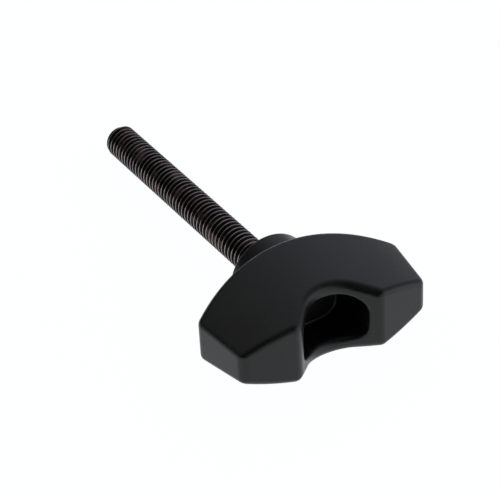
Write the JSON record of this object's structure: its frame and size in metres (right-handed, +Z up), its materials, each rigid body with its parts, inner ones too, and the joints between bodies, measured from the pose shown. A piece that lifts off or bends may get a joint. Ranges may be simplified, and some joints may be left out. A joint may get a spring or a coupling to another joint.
{
  "type": "thumb screw",
  "caption": "Thumb screw with a crescent-shaped moulded plastic knob, hollowed at its notch, on a fully threaded black steel stud.",
  "frame": {"origin": "middle of the part's box in plan, on the surface it lies on", "axes": "+Z up; the stud points along +Y and slopes down 5.6 degrees to its tip, as the part lies at rest; +X across the knob's width"},
  "size_m": [0.0362, 0.0714, 0.0166],
  "materials": {
    "knob_plastic": "fine satin moulded grain, black",
    "stud_steel": "black oxide, lightly oiled"
  },
  "bodies": {
    "root": {"knob": "knob_plastic", "stud": "stud_steel"}
  },
  "joints": []
}
